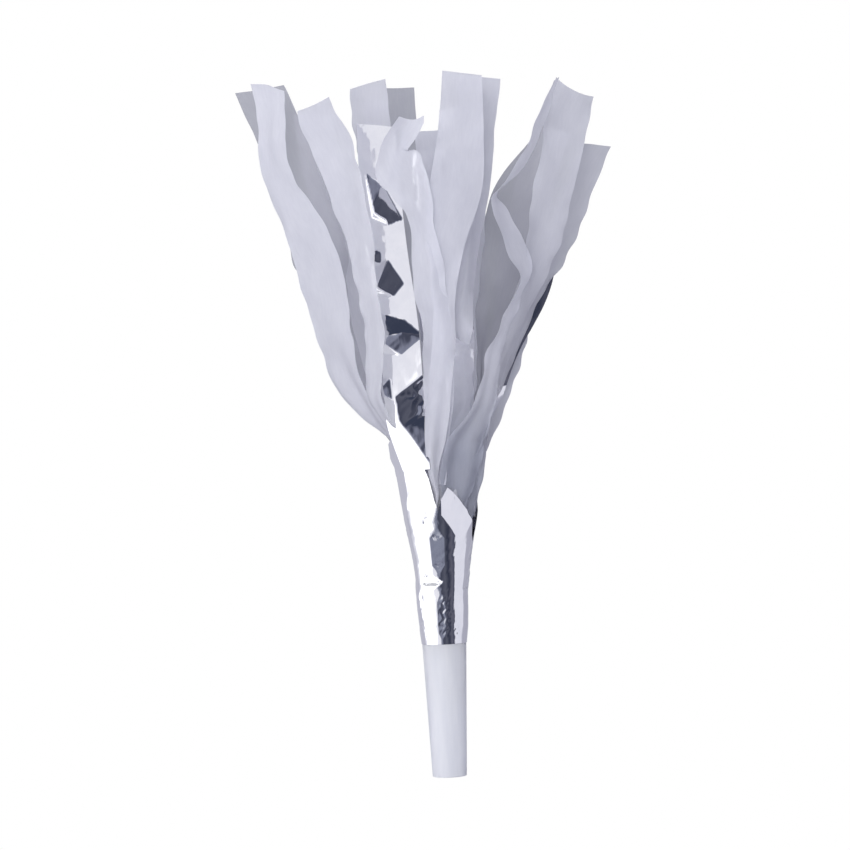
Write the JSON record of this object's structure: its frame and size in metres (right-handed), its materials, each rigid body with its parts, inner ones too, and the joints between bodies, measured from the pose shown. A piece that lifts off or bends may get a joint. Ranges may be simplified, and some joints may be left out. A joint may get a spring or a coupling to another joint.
{
  "type": "party horn",
  "caption": "Fringed party horn: tapered frosted mouthpiece with a squawker reed, a rolled foil sleeve and a crown of slit tissue and mirror foil strips.",
  "frame": {"origin": "centre of the mouth end of the bore, on its end face", "axes": "+Z along the horn from the mouth end to the fringe tips, -Y is the front, +X is to the right"},
  "size_m": [0.1198, 0.0805, 0.228],
  "materials": {
    "frosted_plastic": "satin",
    "reed_plastic": "satin",
    "reed_film": "satin",
    "tape": "gloss",
    "foil": "polished",
    "tissue": "matte"
  },
  "bodies": {
    "horn": {"mouthpiece": "frosted_plastic", "reed_plug": "reed_plastic", "reed_wedge": "reed_plastic", "reed_tab": "reed_film", "tape_band": "tape", "foil_sleeve": "foil", "tissue_sleeve_outer": "tissue", "tissue_sleeve_inner": "tissue"},
    "reed": {"reed_blade": "reed_film"},
    "outer_tissue_strip_01": {"outer_tissue_strip_01": "tissue"},
    "outer_tissue_strip_02": {"outer_tissue_strip_02": "tissue"},
    "outer_tissue_strip_03": {"outer_tissue_strip_03": "tissue"},
    "outer_tissue_strip_04": {"outer_tissue_strip_04": "tissue"},
    "outer_tissue_strip_05": {"outer_tissue_strip_05": "tissue"},
    "outer_tissue_strip_06": {"outer_tissue_strip_06": "tissue"},
    "outer_tissue_strip_07": {"outer_tissue_strip_07": "tissue"},
    "outer_tissue_strip_08": {"outer_tissue_strip_08": "tissue"},
    "outer_tissue_strip_09": {"outer_tissue_strip_09": "tissue"},
    "outer_tissue_strip_10": {"outer_tissue_strip_10": "tissue"},
    "outer_tissue_strip_11": {"outer_tissue_strip_11": "tissue"},
    "outer_tissue_strip_12": {"outer_tissue_strip_12": "tissue"},
    "foil_strip_01": {"foil_strip_01": "foil"},
    "foil_strip_02": {"foil_strip_02": "foil"},
    "foil_strip_03": {"foil_strip_03": "foil"},
    "foil_strip_04": {"foil_strip_04": "foil"},
    "foil_strip_05": {"foil_strip_05": "foil"},
    "foil_strip_06": {"foil_strip_06": "foil"},
    "inner_tissue_strip_01": {"inner_tissue_strip_01": "tissue"},
    "inner_tissue_strip_02": {"inner_tissue_strip_02": "tissue"},
    "inner_tissue_strip_03": {"inner_tissue_strip_03": "tissue"},
    "inner_tissue_strip_04": {"inner_tissue_strip_04": "tissue"},
    "inner_tissue_strip_05": {"inner_tissue_strip_05": "tissue"}
  },
  "joints": [
    {"name": "reed_flutter", "type": "hinge", "parent": "horn", "child": "reed", "pos_m": [0, 0.00012, 0.0439], "axis": [1, 0, 0], "range_deg": [-3, 3], "stiffness_Nm_per_rad": 0.00005},
    {"name": "outer_tissue_strip_01_bend", "type": "hinge", "parent": "horn", "child": "outer_tissue_strip_01", "pos_m": [0.00314, -0.01477, 0.104], "axis": [0.9781, 0.2079, 0], "range_deg": [-2, 15], "stiffness_Nm_per_rad": 0.004},
    {"name": "outer_tissue_strip_02_bend", "type": "hinge", "parent": "horn", "child": "outer_tissue_strip_02", "pos_m": [0.0101, -0.01122, 0.104], "axis": [0.7431, 0.6691, 0], "range_deg": [-2, 15], "stiffness_Nm_per_rad": 0.004},
    {"name": "outer_tissue_strip_03_bend", "type": "hinge", "parent": "horn", "child": "outer_tissue_strip_03", "pos_m": [0.01428, -0.00492, 0.104], "axis": [0.3256, 0.9455, 0], "range_deg": [-2, 15], "stiffness_Nm_per_rad": 0.004},
    {"name": "outer_tissue_strip_04_bend", "type": "hinge", "parent": "horn", "child": "outer_tissue_strip_04", "pos_m": [0.01482, 0.00288, 0.104], "axis": [-0.1908, 0.9816, 0], "range_deg": [-2, 15], "stiffness_Nm_per_rad": 0.004},
    {"name": "outer_tissue_strip_05_bend", "type": "hinge", "parent": "horn", "child": "outer_tissue_strip_05", "pos_m": [0.0114, 0.00991, 0.104], "axis": [-0.6561, 0.7547, 0], "range_deg": [-2, 15], "stiffness_Nm_per_rad": 0.004},
    {"name": "outer_tissue_strip_06_bend", "type": "hinge", "parent": "horn", "child": "outer_tissue_strip_06", "pos_m": [0.00517, 0.01419, 0.104], "axis": [-0.9397, 0.342, 0], "range_deg": [-2, 15], "stiffness_Nm_per_rad": 0.004},
    {"name": "outer_tissue_strip_07_bend", "type": "hinge", "parent": "horn", "child": "outer_tissue_strip_07", "pos_m": [-0.0021, 0.01495, 0.104], "axis": [-0.9903, -0.1392, 0], "range_deg": [-2, 15], "stiffness_Nm_per_rad": 0.004},
    {"name": "outer_tissue_strip_08_bend", "type": "hinge", "parent": "horn", "child": "outer_tissue_strip_08", "pos_m": [-0.00909, 0.01206, 0.104], "axis": [-0.7986, -0.6018, 0], "range_deg": [-2, 15], "stiffness_Nm_per_rad": 0.004},
    {"name": "outer_tissue_strip_09_bend", "type": "hinge", "parent": "horn", "child": "outer_tissue_strip_09", "pos_m": [-0.0139, 0.0059, 0.104], "axis": [-0.3907, -0.9205, 0], "range_deg": [-2, 15], "stiffness_Nm_per_rad": 0.004},
    {"name": "outer_tissue_strip_10_bend", "type": "hinge", "parent": "horn", "child": "outer_tissue_strip_10", "pos_m": [-0.01499, -0.00184, 0.104], "axis": [0.1219, -0.9925, 0], "range_deg": [-2, 15], "stiffness_Nm_per_rad": 0.004},
    {"name": "outer_tissue_strip_11_bend", "type": "hinge", "parent": "horn", "child": "outer_tissue_strip_11", "pos_m": [-0.0119, -0.0093, 0.104], "axis": [0.6157, -0.788, 0], "range_deg": [-2, 15], "stiffness_Nm_per_rad": 0.004},
    {"name": "outer_tissue_strip_12_bend", "type": "hinge", "parent": "horn", "child": "outer_tissue_strip_12", "pos_m": [-0.00541, -0.0141, 0.104], "axis": [0.9336, -0.3584, 0], "range_deg": [-2, 15], "stiffness_Nm_per_rad": 0.004},
    {"name": "foil_strip_01_bend", "type": "hinge", "parent": "horn", "child": "foil_strip_01", "pos_m": [-0.00483, -0.01196, 0.104], "axis": [0.9272, -0.3746, 0], "range_deg": [-2, 2], "stiffness_Nm_per_rad": 0.004},
    {"name": "foil_strip_02_bend", "type": "hinge", "parent": "horn", "child": "foil_strip_02", "pos_m": [0.00794, -0.01017, 0.104], "axis": [0.788, 0.6157, 0], "range_deg": [-2, 2], "stiffness_Nm_per_rad": 0.004},
    {"name": "foil_strip_03_bend", "type": "hinge", "parent": "horn", "child": "foil_strip_03", "pos_m": [0.01188, 0.00504, 0.104], "axis": [-0.3907, 0.9205, 0], "range_deg": [-2, 2], "stiffness_Nm_per_rad": 0.004},
    {"name": "foil_strip_04_bend", "type": "hinge", "parent": "horn", "child": "foil_strip_04", "pos_m": [0.00356, 0.0124, 0.104], "axis": [-0.9613, 0.2756, 0], "range_deg": [-2, 2], "stiffness_Nm_per_rad": 0.004},
    {"name": "foil_strip_05_bend", "type": "hinge", "parent": "horn", "child": "foil_strip_05", "pos_m": [-0.00863, 0.00959, 0.104], "axis": [-0.7431, -0.6691, 0], "range_deg": [-2, 2], "stiffness_Nm_per_rad": 0.004},
    {"name": "foil_strip_06_bend", "type": "hinge", "parent": "horn", "child": "foil_strip_06", "pos_m": [-0.0127, -0.00224, 0.104], "axis": [0.1736, -0.9848, 0], "range_deg": [-2, 2], "stiffness_Nm_per_rad": 0.004},
    {"name": "inner_tissue_strip_01_bend", "type": "hinge", "parent": "horn", "child": "inner_tissue_strip_01", "pos_m": [0.00337, -0.01037, 0.104], "axis": [0.9511, 0.309, 0], "range_deg": [-2, 2], "stiffness_Nm_per_rad": 0.004},
    {"name": "inner_tissue_strip_02_bend", "type": "hinge", "parent": "horn", "child": "inner_tissue_strip_02", "pos_m": [0.01089, -0.00038, 0.104], "axis": [0.0349, 0.9994, 0], "range_deg": [-2, 2], "stiffness_Nm_per_rad": 0.004},
    {"name": "inner_tissue_strip_03_bend", "type": "hinge", "parent": "horn", "child": "inner_tissue_strip_03", "pos_m": [0.003, 0.01048, 0.104], "axis": [-0.9613, 0.2756, 0], "range_deg": [-2, 2], "stiffness_Nm_per_rad": 0.004},
    {"name": "inner_tissue_strip_04_bend", "type": "hinge", "parent": "horn", "child": "inner_tissue_strip_04", "pos_m": [-0.01024, 0.00373, 0.104], "axis": [-0.342, -0.9397, 0], "range_deg": [-2, 2], "stiffness_Nm_per_rad": 0.004},
    {"name": "inner_tissue_strip_05_bend", "type": "hinge", "parent": "horn", "child": "inner_tissue_strip_05", "pos_m": [-0.00757, -0.00784, 0.104], "axis": [0.7193, -0.6947, 0], "range_deg": [-2, 2], "stiffness_Nm_per_rad": 0.004}
  ]
}
